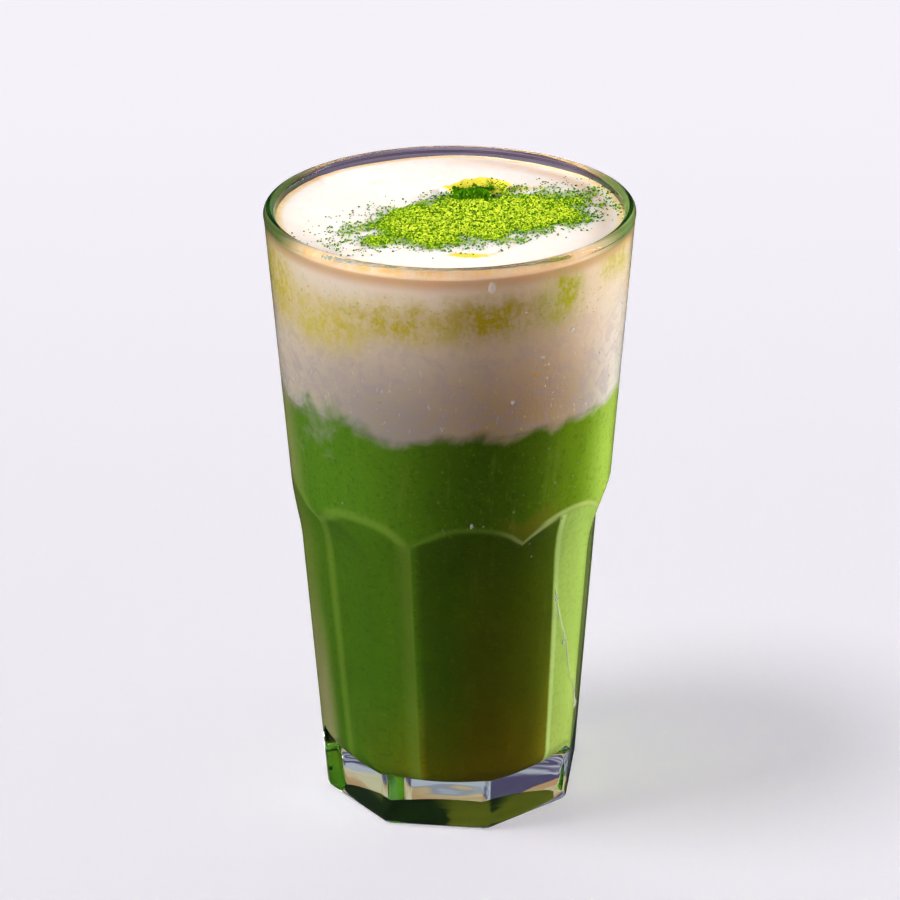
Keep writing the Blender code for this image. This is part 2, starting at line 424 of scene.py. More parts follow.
def boundary_rings(angles, beside):
    """The level between the layers, out to just inside the glass, and a ring on the wall right beside it."""
    made = []
    level_radius = inner_radius(DRINK_LEVEL)
    for share, above in ((0.3, 0), (0.6, 0), (0.8, 0), (0.92, 0), (1.0, 0), (1.0, beside)):
        made.append(
            ring(
                angles,
                lambda a: share * (inner_radius(boundary_height(a, level_radius) + above) + INTO_WALL),
                lambda a, r: boundary_height(a, r) + above,
            )
        )
    return made


def measure_from_boundary(piece):
    """Stores on each point how many mm it lies above the level where the layers meet."""
    levels = []
    for point in piece.data.vertices:
        x, y, z = point.co
        levels.append((z - boundary_height(math.atan2(y, x), math.hypot(x, y))) / MM)
    store(piece, "above boundary", levels)


print("layers meet at", DRINK_LEVEL / MM, "mm")


# %% Colours on both sides of that level
def drink_colour_and_painted_light(tree, turn, clouds):
    """Fresh green on the left and more yellow on the right, with painted light on the right side and painted
    shade at the front and on the far right.
    """
    return coats(
        tree,
        "#5A8A20",
        ("#6C8A10", (turn, -50, 30), (turn, 160, 90)),
        ("#4F7A10", clouds, 0.5),
        # Painted light on the right side, then painted shade on the far right and at the front.
        ("#B4D45C", (turn, 52, 82), (turn, 100, 80), 0.92),
        ("#2C4C06", band(tree, turn, 128, 52), 0.72),
        ("#263C00", band(tree, turn, 12, 56), 0.66),
    )


def low_milk_and_painted_light(tree, turn):
    """Milk that has taken up some matcha: grey-beige, with warmer painted shade at the front and painted
    light on the right.
    """
    # Painted warm shade at the front and painted light on the right.
    painted_warm_shade, pale = band(tree, turn, 22, 50), band(tree, turn, 84, 44)
    return coats(tree, "#B4A89C", ("#C9A676", painted_warm_shade, 0.5), ("#FAF6F6", pale, 0.9))


def share_of_milk(tree, turn, place):
    """0 in the drink and 1 in the milk, with a cloudy change that is far wider on the left."""
    haze = band(tree, turn, -60, 46)
    [ragged] = cloud_layers(tree, place, (8.0, 1.0, 3.0, 0.55, 0.4))
    ragged = add(tree, MATH, (ragged, 0.5), operation="SUBTRACT")
    reach = add(tree, MATH, (haze, 26.0, 7.0), operation="MULTIPLY_ADD")
    ragged = add(tree, MATH, (ragged, reach), operation="MULTIPLY")
    above = add(tree, "ShaderNodeAttribute", attribute_name="above boundary").outputs["Fac"]
    above = add(tree, MATH, (above, ragged), operation="ADD")
    spread = add(tree, MATH, (haze, 4.0, 1.0), operation="MULTIPLY_ADD")
    above = add(tree, MATH, (above, spread), operation="DIVIDE")
    return add(tree, RAMP, (above, -1.7, 1.7), **SMOOTH)


print("green and beige meet about", DRINK_LEVEL / MM, "mm up the glass")


# %% [markdown]
# The ridges of the glass bend the light that comes from behind, and throw bright and dark fields on the
# drink with edges along the ridges and the arches. A few studio lights give only a hint of that, so the
# fields are coats of colour with soft edges. They are strongest at the front and fade out towards the back.

# %% Fields of light and shade on the drink
PANEL_TURN = 360 / PANELS
LIT_EDGE = -17.0
LEFT_LIT_EDGE = LIT_EDGE - PANEL_TURN
SHADE_EDGE = 46.0
SHADE_EDGE_LEAN = 0.108
LEAN_LEVEL = 80.0
ARCH_DROP = 5.0
ARCH_POWER = 2.2


def above_arches(tree, height, turn):
    """How many mm a place lies above the line of the arches, which drops towards each ridge."""
    from_edge = add(tree, MATH, (turn, LIT_EDGE), operation="SUBTRACT")
    from_edge = add(tree, MATH, (from_edge, PANEL_TURN, 0.0), operation="WRAP")
    across = add(tree, MATH, (from_edge, PANEL_TURN / 2), operation="SUBTRACT")
    across = add(tree, MATH, (across,), operation="ABSOLUTE")
    across = add(tree, MATH, (across, PANEL_TURN / 2), operation="DIVIDE")
    drop = add(tree, MATH, (across, ARCH_POWER), operation="POWER")
    drop = add(tree, MATH, (drop, ARCH_DROP), operation="MULTIPLY")
    arch = add(tree, MATH, (ARCH_TOP / MM, drop), operation="SUBTRACT")
    return add(tree, MATH, (height, arch), operation="SUBTRACT")


def past_shade_edge(tree, height, turn):
    """How many degrees a place lies to the right of the shade's edge, which leans as the ridge beside it."""
    lean = add(tree, MATH, (LEAN_LEVEL, height), operation="SUBTRACT")
    lean = add(tree, MATH, (lean, SHADE_EDGE_LEAN), operation="MULTIPLY")
    edge = add(tree, MATH, (lean, SHADE_EDGE), operation="ADD")
    return add(tree, MATH, (turn, edge), operation="SUBTRACT")


def thrown_light(tree, colour, height, turn, mottled):
    """The drink's colour with a dark field at the front, bright ones beside it, and lit ridges and arches."""
    over_arch = above_arches(tree, height, turn)
    past_edge = past_shade_edge(tree, height, turn)
    below = add(tree, RAMP, (over_arch, 0.8, -0.8), **SMOOTH)
    middle = product(tree, (turn, LIT_EDGE + 0.5, LIT_EDGE + 5.5), (past_edge, 0.9, -0.9), below)
    right = product(tree, (past_edge, -0.9, 0.9), (turn, 106, 84))
    uneven = add(tree, MATH, (mottled, -0.6, 1.0), operation="MULTIPLY_ADD")
    left_arch = product(tree, band(tree, over_arch, 0.9, 2.4), (turn, -12, -22), (turn, -150, -90), 0.26)
    other_arch = product(tree, band(tree, over_arch, 0.6, 1.3), 0.12)
    pale_arch = add(tree, MATH, (left_arch, other_arch), operation="MAXIMUM")
    return coats(
        tree,
        colour,
        ("#2A3A00", middle, 0.55),
        ("#6A4A04", middle, (turn, -4, 15), (height, 100, 15), 0.28),
        ("#2E4A00", (turn, LIT_EDGE, LIT_EDGE - 1), (turn, -140, -90), below, 0.42),
        ("#8CAE40", (turn, LIT_EDGE - 9, LIT_EDGE), (turn, LIT_EDGE + 1.2, LIT_EDGE - 0.5), below, 0.38),
        ("#8CAE40", band(tree, turn, LEFT_LIT_EDGE + 2.5, 5.5), below, 0.30),
        ("#A2BC64", right, below, uneven),
        ("#C2D690", band(tree, past_edge, 1.8, 2.4), below, 0.50),
        # Pale painted light along the left edge of the drink.
        ("#9A9A54", band(tree, turn, -88, 24), 0.34),
        ("#C4C87C", band(tree, turn, -90, 28), (over_arch, -1.0, 4.0), 0.6),
        ("#B49C84", band(tree, turn, -86, 22), (height, 62, 22), 0.42),
        ("#7C6A1C", band(tree, turn, 32, 20), band(tree, over_arch, 3.0, 4.5), 0.40),
        ("#9CBC50", pale_arch),
        ("#C4C888", band(tree, over_arch, 0.6, 1.1), (turn, 14, 36), (turn, 116, 84), 0.50),
    )


print("each panel spans", PANEL_TURN, "degrees; the arches reach", ARCH_TOP / MM, "mm")


# %% Finish of the matcha drink
def matcha_suspension():
    made, tree, output = new_material("matcha whisked into milk, opaque and wet")
    place, height, turn = place_parts(tree)
    clouds, mottled, streams, specks = cloud_layers(
        tree,
        place,
        (15.0, 1.0, 4.0, 0.55, 0.6),
        (1.3, 1.0, 3.0, 0.7, 0.0),
        (2.6, 0.10, 4.0, 0.6, 0.0),
        (0.8, 1.0, 2.0, 0.55, 0.0),
    )
    low = add(tree, MATH, (clouds, 12.0), operation="MULTIPLY")
    low = add(tree, MATH, (height, low), operation="ADD")
    colour = coats(
        tree,
        drink_colour_and_painted_light(tree, turn, clouds),
        ("#86700A", (low, 46, 14), (turn, -60, -10), (turn, 150, 90), 0.7),
        ("#22350A", (mottled, 0.50, 0.72), 0.32),
        ("#A4BA52", (streams, 0.54, 0.74), 0.09),
        ("#93962A", (specks, 0.60, 0.72), 0.28),
    )
    colour = thrown_light(tree, colour, height, turn, mottled)
    to_right = add(tree, MATH, (turn,), operation="RADIANS")
    to_right = add(tree, MATH, (to_right,), operation="SINE")
    to_right = add(tree, MATH, (clouds, 0.8, to_right), operation="MULTIPLY_ADD")
    to_right = add(tree, MATH, (to_right, 0.4), operation="SUBTRACT")
    underside = coats(tree, "#22300A", ("#8E8A2A", (to_right, -0.1, 0.35)))
    colour = coats(
        tree,
        colour,
        (low_milk_and_painted_light(tree, turn), share_of_milk(tree, turn, place)),
        (underside, (height, 11.6, 11.0)),
    )
    shader = add(
        tree,
        "ShaderNodeBsdfPrincipled",
        {"Base Color": colour, "Roughness": 0.6, "IOR": 1.33, "Specular IOR Level": 0.05},
    )
    tree.links.new(shader.outputs[0], output.inputs["Surface"])
    return made


MATCHA = matcha_suspension()
print(MATCHA.name)

# %% Shape of the matcha drink
LIQUID_SIDES = 192


def build_matcha():
    angles = even_angles(LIQUID_SIDES)
    rings = fillet_rings(angles, INTO_WALL, 10)
    for z in shared_out(FLOOR_HEIGHT + FLOOR_FILLET + 4 * MM, DRINK_LEVEL - 5 * MM, 16):
        rings.append(level_ring(angles, inner_radius(z) + INTO_WALL, z))
    rings += reversed(boundary_rings(angles, -SEAM_STEP))
    bottom = (0, 0, FLOOR_HEIGHT - INTO_WALL)
    return skin("matcha", rings, bottom, (0, 0, DRINK_LEVEL), MATCHA)


matcha = build_matcha()
measure_from_boundary(matcha)
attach(matcha, "root")
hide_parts("matcha_drink")

# %% [markdown]
# ## The milk foam
# Steamed milk is white where thick, and warmer where light passes through it. The foam's top has slow
# swells, a slight rise where it clings to the glass, and one lump pushed up behind the powder. It is a skin
# of rings as the glass is, and functions of x and y give the height of its top and how thick the powder
# lies.

# %% Shape of the top of the foam
LUMP_PLACE = (6.8 * MM, 17.0 * MM)
LUMP_HALF_SIZE = (8.0 * MM, 7.0 * MM)
LUMP_HEIGHT = 2.45 * MM
CLUMP_PLACE = (4.5 * MM, 11.8 * MM)
CLUMP_HALF_SIZE = (6.4 * MM, 3.2 * MM)
DUST_PLACE = (6.2 * MM, -3.0 * MM)
DUST_HALF_SIZE = (35.0 * MM, 17.5 * MM)
DUST_TILT = math.radians(23.0)
DUST_RELIEF = 0.55 * MM
FOAM_EDGE_RISE = 0.4 * MM
SWELL = 0.25 * MM
FOAM_RINGS = 150
TOP_STARTS = FOAM_LEVEL - 0.9 * MM


def oval_distance(x, y, place, half_size):
    """0 at the middle of an oval and 1 on its edge."""
    return math.hypot((x - place[0]) / half_size[0], (y - place[1]) / half_size[1])


def lump_share(x, y):
    ragged = noise.noise(Vector((x, y, 9 * MM)) / (3 * MM)) * 0.25
    return max(1 - (oval_distance(x, y, LUMP_PLACE, LUMP_HALF_SIZE) + ragged) ** 2, 0.0)


def clump_share(x, y):
    ragged = noise.noise(Vector((x, y, 3 * MM)) / (2 * MM)) * 0.5
    return min(max(1.1 - oval_distance(x, y, CLUMP_PLACE, CLUMP_HALF_SIZE) + ragged, 0.0), 1.0)


def dusting(x, y):
    """How thick the powder lies: a ragged oval, 1 in its middle and 0 outside."""
    ragged = noise.fractal(Vector((x, y, 0)) / (8 * MM), 1.0, 2.0, 4) * 0.30
    dx, dy = x - DUST_PLACE[0], y - DUST_PLACE[1]
    along = (math.cos(DUST_TILT) * dx + math.sin(DUST_TILT) * dy) / DUST_HALF_SIZE[0]
    across = (math.cos(DUST_TILT) * dy - math.sin(DUST_TILT) * dx) / DUST_HALF_SIZE[1]
    inward = 1.0 - math.hypot(along, across) + ragged
    return min(max(1.7 * inward + 0.2, 0.35 * (inward + 0.35), 0.0), 1.0)


def foam_height(x, y):
    """Slow swells, a rise at the wall, small ripples, the lump and the piled powder."""
    radius = math.hypot(x, y)
    edge = min(radius / inner_radius(FOAM_LEVEL), 1.0) ** 14 * FOAM_EDGE_RISE
    swells = math.sin(x / (9 * MM) + 1.0) * math.cos(y / (7 * MM)) * SWELL
    ripples = noise.noise(Vector((x, y, 0)) / (4 * MM)) * 0.12 * MM
    lump = lump_share(x, y)
    froth = noise.fractal(Vector((x, y, 5 * MM)) / (1.8 * MM), 1.0, 2.0, 2) * 0.3 * MM * min(3 * lump, 1.0)
    thick = max(dusting(x, y) - 0.35, 0.0) / 0.65
    piled = (
        0.5 + 0.5 * noise.fractal(Vector((x, y, 2 * MM)) / (1.3 * MM), 1.0, 2.0, 2)
    ) * DUST_RELIEF * thick
    top = FOAM_LEVEL + edge + (swells + ripples) * (1 - lump) + LUMP_HEIGHT * math.sqrt(lump) * 0.85
    return top + froth + piled * (1 - lump)


print("foam top in the middle", round(foam_height(0, 0) / MM, 2), "mm")


# %% [markdown]
# Milk scatters light under its surface, so a little subsurface scattering softens it. What the wall shows
# and what the top shows are two looks of one piece, told apart by height. Each stain is a soft patch at its
# own azimuth and height, and its edge is broken up by noise, as a liquid that has run down glass is. The
# bubbles of real microfoam are finer than a picture shows, so the bump is drawn at 0.8 mm, which still
# reads as foam.

# %% Finish of the milk and foam
STAIN_STRENGTH = 1.75
# Each stain: azimuth and height of its middle in degrees and mm, its half sizes, its strength and its
# colour.
STAINS = (
    (-74.0, 139.0, 26.0, 17.0, 0.70, "#D4C63A"),
    (-46.0, 134.0, 28.0, 12.0, 0.60, "#D4C640"),
    (-16.0, 138.0, 34.0, 9.5, 0.64, "#CAB826"),
    (14.0, 139.0, 26.0, 10.0, 0.68, "#BCA61C"),
    (38.0, 142.0, 15.0, 13.0, 0.70, "#BCBC30"),
    (66.0, 145.0, 18.0, 8.0, 0.55, "#CCC850"),
    (96.0, 141.0, 30.0, 12.0, 0.55, "#C4BC50"),
    (132.0, 137.0, 32.0, 9.0, 0.55, "#C0B64C"),
    (168.0, 139.0, 32.0, 11.0, 0.55, "#C0B64C"),
    (-156.0, 136.0, 32.0, 9.0, 0.55, "#C0B64C"),
    (-118.0, 138.0, 34.0, 12.0, 0.60, "#C6BC48"),
)
# Each patch on top: its middle and half sizes in mm, and its strength.
FOAM_PATCHES = (
    (5.0, -27.0, 6.0, 2.6, 0.8),
    (-17.5, 22.0, 4.0, 2.5, 0.2),
    (18.0, 18.0, 7.0, 4.5, 0.5),
)


def milk_behind_glass(tree, place, height, turn, clouds, streaks):
    """White at the top and beige below, with painted light and shade on the sides and front, yellow-green
    stains, flecks and a tan collar under the lip.
    """
    drips, fine, patches, yellow, green, orange, pale = cloud_layers(
        tree,
        place,
        (3.0, 0.35, 4.0, 0.6, 0.4),
        (1.1, 1.0, 4.0, 0.65, 0.0),
        (6.0, 1.0, 3.0, 0.6, 0.5),
        (2.2, 1.0, 3.0, 0.55, 0.0),
        (0.9, 1.0, 1.0, 0.55, 0.0),
        (2.3, 1.0, 0.0, 0.55, 0.0),
        (0.8, 0.45, 1.0, 0.55, 0.0),
    )
    mottling = add(tree, MATH, (drips, fine), operation="ADD")
    mottling = add(tree, MATH, (mottling, patches), operation="ADD")
    mottling = add(tree, MATH, (mottling, 3.0), operation="DIVIDE")
    # Beige below: partly milk that has taken up matcha, partly painted light that fades downwards from the
    # top.
    depth = add(tree, RAMP, (height, 150, 112), **SMOOTH)
    colour = coats(
        tree,
        "#FFF2EA",
        (low_milk_and_painted_light(tree, turn), depth),
        # Painted warm shade at the front, painted light on the left and painted shade on the far right.
        ("#C9A676", band(tree, turn, 22, 50), 0.25),
        ("#D9C4A4", clouds, (depth, 1.0, 0.2), 0.4),
        ("#FAF0E6", band(tree, turn, -80, 66), 0.42),
        ("#FFF6E6", band(tree, turn, -92, 34), 0.7),
        ("#6E6660", band(tree, turn, 128, 52), 0.55),
        ("#B0A4B8", (streaks, 0.44, 0.62), depth, 0.45),
        # A painted highlight high on the front of the milk.
        ("#FFF6F0", band(tree, height, 143.4, 4.4), band(tree, turn, -20, 50), (clouds, 0.30, 0.60), 0.85),
    )
    patchy = add(tree, RAMP, (mottling, 0.42, 0.60), **SMOOTH)
    patchy = add(tree, MATH, (patchy, 0.62, 0.38), operation="MULTIPLY_ADD")
    for azimuth, level, half_turn, half_height, strength, stain in STAINS:
        reach = product(tree, band(tree, turn, azimuth, half_turn), band(tree, height, level, half_height))
        colour = coats(tree, colour, (stain, patchy, reach, STAIN_STRENGTH * strength))
    level_band = band(tree, height, 139, 11)
    return coats(
        tree,
        colour,
        ("#B4BC24", (yellow, 0.58, 0.70), level_band, 0.35),
        ("#94A62C", (green, 0.66, 0.74), level_band, 0.5),
        ("#E8A030", (orange, 0.83, 0.87), 0.6),
        ("#FFFAF6", (pale, 0.68, 0.74), depth, 0.28),
        ("#D0B084", (height, 145.6, 148.4), 0.85),
    )


def foam_from_above(tree, place, streaks):
    """Near white, tan where the foam is thin, green under the powder, yellow where matcha has soaked in."""
    [tones] = cloud_layers(tree, place, (12.0, 1.0, 3.0, 0.55, 0.0))
    beige, dusted, yellow = [
        add(tree, "ShaderNodeAttribute", attribute_name=name).outputs["Fac"]
        for name in ("beige", "dusting", "yellow")
    ]
    stained = add(tree, MATH, (streaks, 0.4, dusted), operation="MULTIPLY_ADD")
    return coats(
        tree,
        "#EEE9EA",
        ("#E9E1DC", tones),
        ("#CFC6CC", (streaks, 0.56, 0.74), 0.35),
        ("#E8B878", beige, streaks),
        ("#5E9010", (stained, 0.42, 0.90)),
        ("#DCCF42", (yellow, 0.0, 0.6)),
    )


def steamed_milk():
    made, tree, output = new_material("steamed milk and foam, satin")
    place, height, turn = place_parts(tree)
    clouds, streaks, drink_clouds = cloud_layers(
        tree, place, (8.0, 1.0, 5.0, 0.55, 0.8), (4.0, 1.0, 4.0, 0.7, 1.0), (15.0, 1.0, 4.0, 0.55, 0.6)
    )
    of_drink = add(tree, MATH, (1.0, share_of_milk(tree, turn, place)), operation="SUBTRACT")
    colour = coats(
        tree,
        milk_behind_glass(tree, place, height, turn, clouds, streaks),
        (drink_colour_and_painted_light(tree, turn, drink_clouds), of_drink),
        (foam_from_above(tree, place, streaks), (height, 149.0, 149.4)),
    )
    bubble_links = {"Vector": place, "Scale": 1 / (0.8 * MM)}
    bubbles = add(tree, "ShaderNodeTexVoronoi", bubble_links).outputs["Distance"]
    bump = add(tree, "ShaderNodeBump", {"Height": bubbles, "Strength": 0.10, "Distance": 0.2 * MM})
    shader = add(
        tree,
        "ShaderNodeBsdfPrincipled",
        {
            "Base Color": colour,
            "Roughness": 0.5,
            "IOR": 1.35,
            "Specular IOR Level": 0.3,
            "Subsurface Weight": 1.0,
            "Subsurface Radius": (7.0, 5.8, 4.6),
            "Subsurface Scale": 0.45 * MM,
            "Normal": bump.outputs[0],
        },
    )
    tree.links.new(shader.outputs[0], output.inputs["Surface"])
    return made


MILK = steamed_milk()
print(MILK.name)


# %% Shape of the milk and foam
def yellow_share(x, y):
    """Where matcha has stained the foam yellow: on the lump and in a few patches."""
    yellow = min(2.5 * lump_share(x, y), 1.0)
    for px, py, half_x, half_y, strength in FOAM_PATCHES:
        ragged = noise.fractal(Vector((x, y, 7 * MM)) / (2 * MM), 1.0, 2.0, 3) * 0.6
        near = max(1 - oval_distance(x / MM, y / MM, (px, py), (half_x, half_y)) + ragged, 0.0)
        yellow = max(yellow, min(near, 1.0) * strength)
    return yellow


def beige_share(x, y):
    """Where the foam is thin: in a ring behind on the right, and right at the wall."""
    radius = math.hypot(x, y) / MM
    turn = math.degrees(math.atan2(x, -y))
    ring_share = max(1 - abs(radius - 37.0) / 3.5, 0.0) * max(1 - abs(turn - 120) / 65, 0.0) ** 0.5
    at_the_wall = min(max((radius - 39.2) / 1.2, 0.0), 1.0)
    return max(ring_share, 1.6 * at_the_wall)


def build_milk():
    angles = even_angles(LIQUID_SIDES)
    rings = boundary_rings(angles, SEAM_STEP)
    for z in shared_out(DRINK_LEVEL + 3 * MM, FOAM_LEVEL - 1 * MM, 10):
        rings.append(level_ring(angles, inner_radius(z) + INTO_WALL, z))
    for share in shared_out(1.0, 1.0 / FOAM_RINGS, FOAM_RINGS):
        radius = (inner_radius(FOAM_LEVEL) + INTO_WALL) * share
        rings.append(
            ring(angles, lambda a: radius, lambda a, r: foam_height(r * math.cos(a), r * math.sin(a)))
        )
    made = skin("milk", rings, (0, 0, DRINK_LEVEL), (0, 0, foam_height(0.0, 0.0)), MILK)
    measure_from_boundary(made)
    tops = [p.co if p.co.z > TOP_STARTS else None for p in made.data.vertices]
    store(made, "dusting", [dusting(p.x, p.y) if p else 0.0 for p in tops])
    store(made, "clump", [clump_share(p.x, p.y) if p else 0.0 for p in tops])
    store(made, "yellow", [yellow_share(p.x, p.y) if p else 0.0 for p in tops])
    store(made, "beige", [beige_share(p.x, p.y) if p else 0.0 for p in tops])
    return made


milk = build_milk()
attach(milk, "root")
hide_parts("milk_foam")

# %% [markdown]
# ## The powder
# Sifted matcha lands as thousands of tiny grains, thick in the middle of the dusting and sparse at its
# edge. This is a scatter, so Geometry Nodes place one rough grain many times: points on the faces of the
# foam, as dense as the dusting says, each with a random size and turn. The copies are realized into one
# plain mesh at the end.

# %% Finish of the powder
def matcha_powder():
    made, tree, output = new_material("sifted matcha powder, dry and matt")
    tone = add(tree, "ShaderNodeAttribute", attribute_name="tone").outputs["Fac"]
    shades = add(tree, "ShaderNodeValToRGB", {"Fac": tone})
    stops = shades.color_ramp.elements
    stops[0].color = linear("#265C00")
    stops[1].color = linear("#E2F048")
    stops.new(0.30).color = linear("#549408")
    stops.new(0.55).color = linear("#B4D224")
    place = add(tree, "ShaderNodeTexCoord").outputs["Object"]
    [crumbs] = cloud_layers(tree, place, (0.3, 1.0, 3.0, 0.55, 0.0))
    rough = add(tree, "ShaderNodeBump", {"Height": crumbs, "Strength": 0.3, "Distance": 0.1 * MM})
    shader = add(
        tree,
        "ShaderNodeBsdfPrincipled",
        {
            "Base Color": shades.outputs[0],
            "Roughness": 0.9,
            "Specular IOR Level": 0.2,
            "Normal": rough.outputs[0],
        },
    )
    tree.links.new(shader.outputs[0], output.inputs["Surface"])
    return made


POWDER = matcha_powder()
print(POWDER.name)


# %% Geometry Nodes that scatter grains
CROWDING = 1.4
FULL_TURN = 6.283


def scatter_tree():
    """Points on a surface, a rough grain on each, its tone, and in the end one real mesh with its finish."""
    tree = bpy.data.node_groups.new("scatter grains", "GeometryNodeTree")
    face = tree.interface
    face.new_socket("Geometry", in_out="INPUT", socket_type="NodeSocketGeometry")
    for name, kind in (
        ("Density", "NodeSocketFloat"),
        ("Smallest", "NodeSocketFloat"),
        ("Largest", "NodeSocketFloat"),
        ("Fineness", "NodeSocketInt"),
        ("Seed", "NodeSocketInt"),
        ("Brightest", "NodeSocketFloat"),
        ("Region", "NodeSocketString"),
        ("Finish", "NodeSocketMaterial"),
    ):
        face.new_socket(name, in_out="INPUT", socket_type=kind)
    face.new_socket("Geometry", in_out="OUTPUT", socket_type="NodeSocketGeometry")
    given = add(tree, "NodeGroupInput").outputs
    dust = add(tree, "GeometryNodeInputNamedAttribute", {"Name": given["Region"]}, data_type="FLOAT")
    thick = add(tree, MATH, (dust, CROWDING), operation="POWER")
    density = add(tree, MATH, (thick, given["Density"]), operation="MULTIPLY")
    points = add(
        tree,
        "GeometryNodeDistributePointsOnFaces",
        {"Mesh": given["Geometry"], "Density": density, "Seed": given["Seed"]},
        distribute_method="RANDOM",
    )
    grain = add(tree, "GeometryNodeMeshIcoSphere", {"Radius": 1.0, "Subdivisions": given["Fineness"]})
    sizes = {"Min": given["Smallest"], "Max": given["Largest"], "Seed": given["Seed"]}
    size = add(tree, "FunctionNodeRandomValue", sizes, data_type="FLOAT").outputs[1]
    shapes = {0: (0.7, 0.7, 0.55), 1: (1.2, 1.2, 1.0), "Seed": 3}
    squash = add(tree, "FunctionNodeRandomValue", shapes, data_type="FLOAT_VECTOR")
    scale = add(tree, "ShaderNodeVectorMath", {0: squash, "Scale": size}, operation="SCALE")
    turns = {0: (0.0, 0.0, 0.0), 1: (FULL_TURN, FULL_TURN, FULL_TURN), "Seed": 5}
    turn = add(tree, "FunctionNodeRandomValue", turns, data_type="FLOAT_VECTOR")
    copies = add(
        tree,
        "GeometryNodeInstanceOnPoints",
        {"Points": points, "Instance": grain, "Rotation": turn, "Scale": scale},
    )
    draw = {"Min": 0.0, "Max": 1.15, "Seed": 9}
    lottery = add(tree, "FunctionNodeRandomValue", draw, data_type="FLOAT").outputs[1]
    # Grains are painted brighter where the dusting is thick and darker where it is sparse: painted light and
    # shade.
    painted_light_in_thick_dust = add(tree, MATH, (dust, 0.85, 0.15), operation="MULTIPLY_ADD")
    tone = add(tree, MATH, (lottery, painted_light_in_thick_dust), operation="MULTIPLY")
    tone = add(tree, MATH, (tone, given["Brightest"]), operation="MULTIPLY")
    toned = add(
        tree,
        "GeometryNodeStoreNamedAttribute",
        {"Geometry": copies, "Name": "tone", "Value": tone},
        data_type="FLOAT",
        domain="INSTANCE",
    )
    real = add(tree, "GeometryNodeRealizeInstances", (toned,))
    painted = add(tree, "GeometryNodeSetMaterial", {"Geometry": real, "Material": given["Finish"]})
    add(tree, "NodeGroupOutput", (painted,))
    return tree


SCATTER = scatter_tree()
print("scatter tree with", len(SCATTER.nodes), "nodes")


# %% Scatter the powder
def foam_top():
    """A copy of the foam's top faces, for the grains to land on."""
    shape = bmesh.new()
    shape.from_mesh(milk.data)
    low = [v for v in shape.verts if v.co.z < TOP_STARTS]
    bmesh.ops.delete(shape, geom=low, context="VERTS")
    mesh = bpy.data.meshes.new("top of foam")
    shape.to_mesh(mesh)
    shape.free()
    return mesh


def scatter(name, settings):
    """Runs the scatter tree on the top of the foam and keeps the result as a plain mesh."""
    bed = new_object(name + " bed", foam_top())
    modifier = bed.modifiers.new("scatter", "NODES")
    modifier.node_group = SCATTER
    sockets = {s.name: s.identifier for s in SCATTER.interface.items_tree if s.in_out == "INPUT"}
    for key, value in settings.items():
        modifier[sockets[key]] = value
    graph = bpy.context.evaluated_depsgraph_get()
    mesh = bpy.data.meshes.new_from_object(bed.evaluated_get(graph))
    mesh.name = name
    bpy.data.objects.remove(bed, do_unlink=True)
    made = new_object(name, mesh)
    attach(made, "root")
    print(name, len(mesh.polygons), "triangles")
    return made


def grains(smallest, largest, density, seed, brightest=1.0, region="dusting"):
    """Settings of the scatter tree, with sizes in millimetres and density in grains per square millimetre."""
    return {
        "Density": density * 1e6,
        "Smallest": smallest * MM,
        "Largest": largest * MM,
        "Fineness": 1,
        "Seed": seed,
        "Brightest": brightest,
        "Region": region,
        "Finish": POWDER,
    }


fine_powder = scatter("fine_powder", grains(0.14, 0.24, 6.0, 2))
coarse_powder = scatter("coarse_powder", grains(0.22, 0.38, 4.6, 7))
matcha_clump = scatter("matcha_clump", grains(0.35, 0.70, 9.0, 11, 0.30, "clump"))

# %% [markdown]
# ## Water on the glass
# A cold drink gathers a few drops of water on the outside of its glass. A drop on glass is a low dome with
# a wide foot, so each one is a squashed ball set half into the wall. The few that stand out have their own
# places, a row of small ones makes a trail where water has run down, and the rest fall at random from a
# fixed seed.

# %% Water drops
def water_painted_bright():
    made, tree, output = new_material("water painted bright")
    place = add(tree, "ShaderNodeTexCoord").outputs["Object"]
    [uneven] = cloud_layers(tree, place, (1.0, 1.0, 3.0, 0.55, 0.0))
    ripple = add(tree, "ShaderNodeBump", {"Height": uneven, "Strength": 0.1, "Distance": 0.1 * MM})
    shader = add(
        tree,
        "ShaderNodeBsdfPrincipled",
        {
            # A quarter of each drop is plain white diffuse: painted highlights on the water.
            "Base Color": linear("#FFFFFF"),
            "Roughness": 0.05,
            "IOR": 1.33,
            "Transmission Weight": 0.75,
            "Normal": ripple.outputs[0],
        },
    )
    tree.links.new(shader.outputs[0], output.inputs["Surface"])
    return made


# Each drop: azimuth in degrees, height in mm, and its half width and half height in mm.
PLACED_DROPS = (
    (12.5, 147.5, 0.9, 1.5),
    (41.0, 133.0, 0.7, 0.8),
    (7.0, 86.5, 0.4, 0.7),
    (64.0, 26.5, 0.9, 1.3),
    (47.0, 60.0, 0.6, 0.9),
    (52.0, 47.0, 0.5, 0.8),
    (30.0, 128.0, 0.5, 0.6),
    (20.0, 118.0, 0.45, 0.5),
)
DRIP_TRAIL = ((46.0, 62.0), (49.0, 55.0), (53.5, 47.0), (55.5, 40.0), (60.0, 31.0), (63.0, 28.0))
TRAIL_BEADS = 9
DROP_FLATNESS = 0.22
LOOSE_DROPS = 80


def drops():
    """The drops that stand out, then small ones at random: azimuth, height, half width and half height."""
    chance = random.Random(4)
    made = [(azimuth, z * MM, half_x * MM, half_z * MM) for azimuth, z, half_x, half_z in PLACED_DROPS]
    for first, last in zip(DRIP_TRAIL, DRIP_TRAIL[1:]):
        for k in range(TRAIL_BEADS):
            share = k / TRAIL_BEADS
            azimuth, z = [a + (b - a) * share for a, b in zip(first, last)]
            made.append((azimuth, z * MM, chance.uniform(0.14, 0.26) * MM, 0.7 * MM))
    for _ in range(LOOSE_DROPS):
        size = chance.uniform(0.10, 0.22) * MM
        azimuth = chance.choice((chance.gauss(35, 18), chance.uniform(-180, 180)))
        made.append((azimuth, chance.uniform(74, 143) * MM, size, size * chance.uniform(1.0, 1.5)))
    return made


